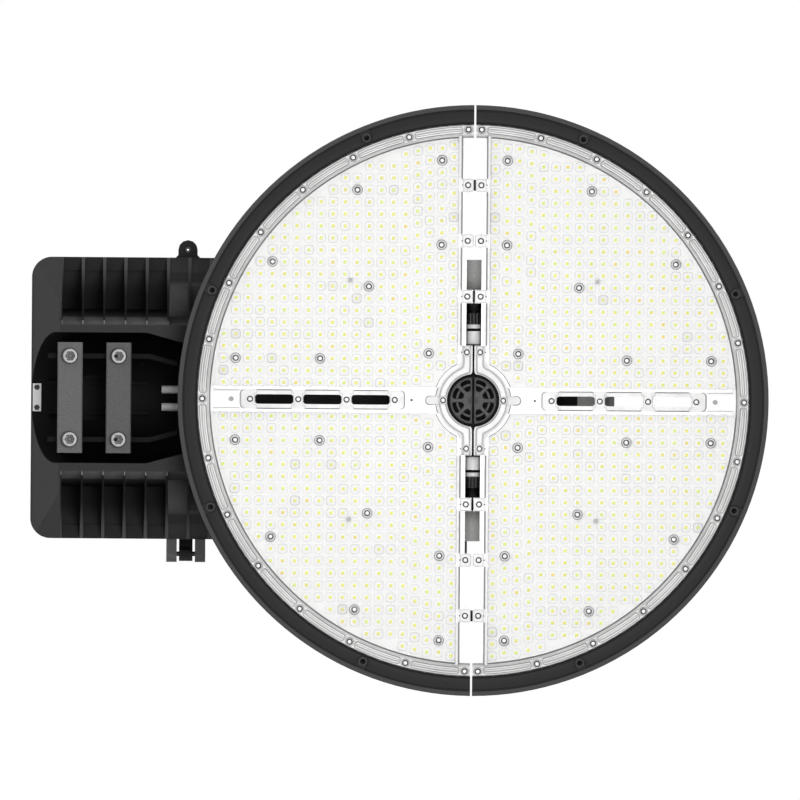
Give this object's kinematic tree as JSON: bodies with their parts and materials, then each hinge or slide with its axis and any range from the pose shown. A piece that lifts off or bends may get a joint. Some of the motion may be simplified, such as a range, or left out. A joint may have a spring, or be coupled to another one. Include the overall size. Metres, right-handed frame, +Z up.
{
  "type": "high-mast light",
  "caption": "Pole-top area light: a round head of two half-disc light engines on rails under a long driver housing with a hinged cover and a tenon clamp.",
  "frame": {"origin": "on the tenon's axis, midway between the two clamp bars", "axes": "+X along the housing from the pole towards the head, +Y towards the cover's hinges, +Z up; the light shines along -Z"},
  "size_m": [0.7338, 0.588, 0.216],
  "materials": {
    "grey_paint": "satin grey powder coat on die-cast aluminium",
    "dark_paint": "satin dark grey powder coat on die-cast aluminium",
    "rail_paint": "satin grey powder coat on extruded aluminium",
    "grey_plastic": "matt moulded",
    "cast_saddle": "rough casting",
    "bare_aluminium": "machined",
    "bar_steel": "brushed",
    "bolt_steel": "bright",
    "black_screw": "black",
    "lens_screw": "bright",
    "clear_lens": "clear moulded",
    "white_board": "white solder mask",
    "black_rubber": "matt",
    "black_plastic": "matt",
    "white_plastic": "matt",
    "nickel_plate": "nickel plated",
    "driver_case": "extruded case",
    "brass_screw": "bare"
  },
  "bodies": {
    "housing": {"bezel_screws": "lens_screw", "carrier_rail_end": "rail_paint", "carrier_rail_hinge_side": "rail_paint", "carrier_rail_latch_side": "rail_paint", "carrier_screws": "bolt_steel", "channel_screws": "lens_screw", "connector_collars": "nickel_plate", "connector_seals": "black_rubber", "connector_sockets": "nickel_plate", "coupling_nuts": "black_plastic", "cover_gasket": "black_rubber", "driver_screws": "bolt_steel", "earth_screw": "brass_screw", "engine_joiners": "dark_paint", "engine_leads": "black_rubber", "engine_mount_screws": "bolt_steel", "entry_plate": "bare_aluminium", "entry_plate_screws": "black_screw", "heat_sink_left": "dark_paint", "heat_sink_right": "dark_paint", "hinge_pins": "bolt_steel", "hub_screws": "bolt_steel", "joiner_screws": "bolt_steel", "lead_boots": "black_plastic", "lead_glands": "black_plastic", "lead_sleeves": "bare_aluminium", "led_board_left_hinge_side": "white_board", "led_board_left_latch_side": "white_board", "led_board_right_hinge_side": "white_board", "led_board_right_latch_side": "white_board", "led_driver_hinge_side": "driver_case", "led_driver_latch_side": "driver_case", "lens_left": "clear_lens", "lens_right": "clear_lens", "lens_seal_left": "black_rubber", "lens_seal_right": "black_rubber", "main_housing": "grey_paint", "rim_screws": "lens_screw", "saddle_bolts": "bolt_steel", "slot_bezel_left": "clear_lens", "slot_bezel_right": "clear_lens", "surge_protector": "black_plastic", "tenon_saddle": "cast_saddle", "terminal_block": "white_plastic", "vent_grille_left": "grey_plastic", "vent_grille_right": "grey_plastic", "wiring_hub": "dark_paint"},
    "cover": {"driver_cover": "grey_paint"},
    "latch_screw_tenon": {"latch_screw_tenon_end": "bolt_steel"},
    "latch_screw_head": {"latch_screw_head_end": "bolt_steel"},
    "outer_clamp": {"clamp_bar_outer": "bar_steel", "clamp_bolts_outer": "bolt_steel"},
    "inner_clamp": {"clamp_bar_inner": "bar_steel", "clamp_bolts_inner": "bolt_steel"}
  },
  "joints": [
    {"name": "cover_hinge", "type": "hinge", "parent": "housing", "child": "cover", "pos_m": [0.0922, 0.1546, 0.071], "axis": [-1, 0, 0], "range_deg": [0, 100]},
    {"name": "latch_screw_tenon_lift", "type": "slide", "parent": "cover", "child": "latch_screw_tenon", "axis": [0, 0, 1], "range_m": [0, 0.012]},
    {"name": "latch_screw_head_lift", "type": "slide", "parent": "cover", "child": "latch_screw_head", "axis": [0, 0, 1], "range_m": [0, 0.012]},
    {"name": "outer_clamp_travel", "type": "slide", "parent": "housing", "child": "outer_clamp", "axis": [0, 0, -1], "range_m": [0, 0.012]},
    {"name": "inner_clamp_travel", "type": "slide", "parent": "housing", "child": "inner_clamp", "axis": [0, 0, -1], "range_m": [0, 0.012]}
  ]
}
